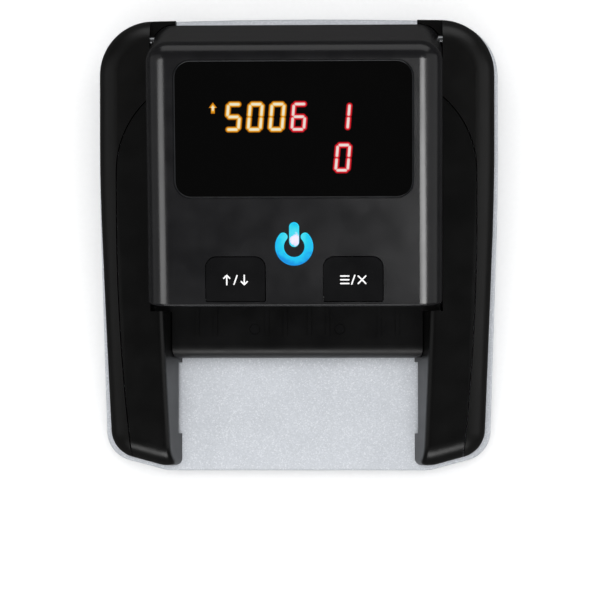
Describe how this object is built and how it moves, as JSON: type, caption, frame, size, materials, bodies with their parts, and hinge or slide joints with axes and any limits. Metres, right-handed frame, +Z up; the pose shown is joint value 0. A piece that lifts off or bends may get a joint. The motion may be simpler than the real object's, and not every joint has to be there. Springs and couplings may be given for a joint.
{
  "type": "counterfeit banknote detector",
  "caption": "Desktop banknote detector: note tray between two arms, roller-driven path under a hinged head with display, keys and lit power symbol.",
  "frame": {"origin": "centre of the footprint, on the plane the rubber feet stand on", "axes": "+Z up, +Y towards the rear where the note comes out, so the note goes in from -Y; +X to the right of a person facing the keys"},
  "size_m": [0.1334, 0.151, 0.0617],
  "materials": {
    "silver_abs": "fine satin paint over moulded ABS",
    "black_shell": "satin moulded ABS",
    "black_arm": "polished moulded ABS",
    "black_head": "semi-gloss moulded ABS",
    "black_guide": "smooth moulded ABS",
    "smoked_acrylic": "polished smoked acrylic",
    "key_plastic": "semi-gloss moulded ABS",
    "cyan_light_pipe": "frosted translucent polycarbonate",
    "black_rubber": "matt",
    "roller_rubber": "ground rubber",
    "pinch_rubber": "ground rubber",
    "steel": "turned",
    "zinc_steel": "bright zinc plate",
    "spring_steel": "rolled strip",
    "motor_can": "nickel-plated drawn steel",
    "brass": "turned",
    "sintered_bronze": "sintered",
    "white_acetal": "moulded acetal",
    "black_acetal": "moulded acetal",
    "pcb_green": "solder mask",
    "black_epoxy": "moulded epoxy",
    "capacitor_can": "drawn can",
    "sensor_glass": "clear dark strip",
    "sensor_body": "moulded",
    "battery_wrap": "shrink sleeve",
    "led_lens": "clear epoxy",
    "head_metal": "lapped"
  },
  "bodies": {
    "housing": {"bottom_case": "silver_abs", "upper_shell": "black_shell", "left_arm_cover": "black_arm", "right_arm_cover": "black_arm", "lower_guide": "black_guide", "lower_sensor_window": "sensor_glass", "lower_sensor_bar": "sensor_body", "main_pcb": "pcb_green", "main_processor": "black_epoxy", "buzzer": "black_acetal", "board_capacitors": "capacitor_can", "dc_socket": "black_acetal", "usb_port": "zinc_steel", "drive_motor": "motor_can", "compound_gear_stud": "steel", "shaft_bushes": "sintered_bronze", "drive_belt": "black_rubber", "battery_pack": "battery_wrap", "battery_door": "silver_abs", "rubber_feet": "black_rubber", "case_screws": "zinc_steel", "chassis_screws": "zinc_steel", "hinge_pins": "steel", "entry_sensors": "sensor_body", "magnetic_head": "head_metal"},
    "lid": {"head_cover": "black_head", "display_window": "smoked_acrylic", "display_pcb": "pcb_green", "led_digit_module": "black_epoxy", "upper_guide": "black_guide", "upper_sensor_bar": "sensor_body", "upper_sensor_window": "sensor_glass", "tact_switches": "black_acetal", "power_led": "led_lens", "head_screws": "zinc_steel", "pinch_springs": "spring_steel"},
    "motor_rotor": {"motor_shaft": "steel", "motor_pinion": "brass"},
    "idler": {"compound_gear": "white_acetal"},
    "rear_roller": {"rear_drive_shaft": "steel", "rear_drive_rollers": "roller_rubber", "rear_shaft_gear": "white_acetal", "rear_belt_pulley": "black_acetal"},
    "front_roller": {"front_drive_shaft": "steel", "front_drive_rollers": "roller_rubber", "front_belt_pulley": "black_acetal"},
    "front_pinch": {"front_pinch_axle": "steel", "front_pinch_rollers": "pinch_rubber"},
    "rear_pinch": {"rear_pinch_axle": "steel", "rear_pinch_rollers": "pinch_rubber"},
    "power_key": {"power_button": "cyan_light_pipe"},
    "menu_key_left": {"left_key": "key_plastic"},
    "menu_key_right": {"right_key": "key_plastic"}
  },
  "joints": [
    {"name": "lid_hinge", "type": "hinge", "parent": "housing", "child": "lid", "pos_m": [0, 0.065, 0.033], "axis": [-1, 0, 0], "range_deg": [0, 68]},
    {"name": "rear_roller_spin", "type": "hinge", "parent": "housing", "child": "rear_roller", "pos_m": [0, 0.034, 0.0146], "axis": [1, 0, 0], "continuous": true},
    {"name": "front_roller_spin", "type": "hinge", "parent": "housing", "child": "front_roller", "pos_m": [0, -0.007, 0.0146], "axis": [1, 0, 0], "continuous": true},
    {"name": "idler_spin", "type": "hinge", "parent": "housing", "child": "idler", "pos_m": [-0.0534, 0.04591, 0.0161], "axis": [1, 0, 0], "continuous": true},
    {"name": "motor_spin", "type": "hinge", "parent": "housing", "child": "motor_rotor", "pos_m": [-0.0514, 0.05553, 0.0112], "axis": [1, 0, 0], "continuous": true},
    {"name": "front_pinch_spin", "type": "hinge", "parent": "lid", "child": "front_pinch", "pos_m": [0, -0.007, 0.02595], "axis": [1, 0, 0], "continuous": true},
    {"name": "rear_pinch_spin", "type": "hinge", "parent": "lid", "child": "rear_pinch", "pos_m": [0, 0.034, 0.02595], "axis": [1, 0, 0], "continuous": true},
    {"name": "power_key_press", "type": "slide", "parent": "lid", "child": "power_key", "axis": [0, 0.1828, -0.9832], "range_m": [0, 0.0007], "stiffness_N_per_m": 1200, "springref_m": -0.0004},
    {"name": "left_key_press", "type": "slide", "parent": "lid", "child": "menu_key_left", "axis": [0, 0.1828, -0.9832], "range_m": [0, 0.0007], "stiffness_N_per_m": 1200, "springref_m": -0.0004},
    {"name": "right_key_press", "type": "slide", "parent": "lid", "child": "menu_key_right", "axis": [0, 0.1828, -0.9832], "range_m": [0, 0.0007], "stiffness_N_per_m": 1200, "springref_m": -0.0004}
  ],
  "couplings": [
    {"joint": "front_roller_spin", "follows": "rear_roller_spin", "ratio": 1},
    {"joint": "idler_spin", "follows": "rear_roller_spin", "ratio": -2.3333},
    {"joint": "motor_spin", "follows": "rear_roller_spin", "ratio": 6.0667}
  ]
}
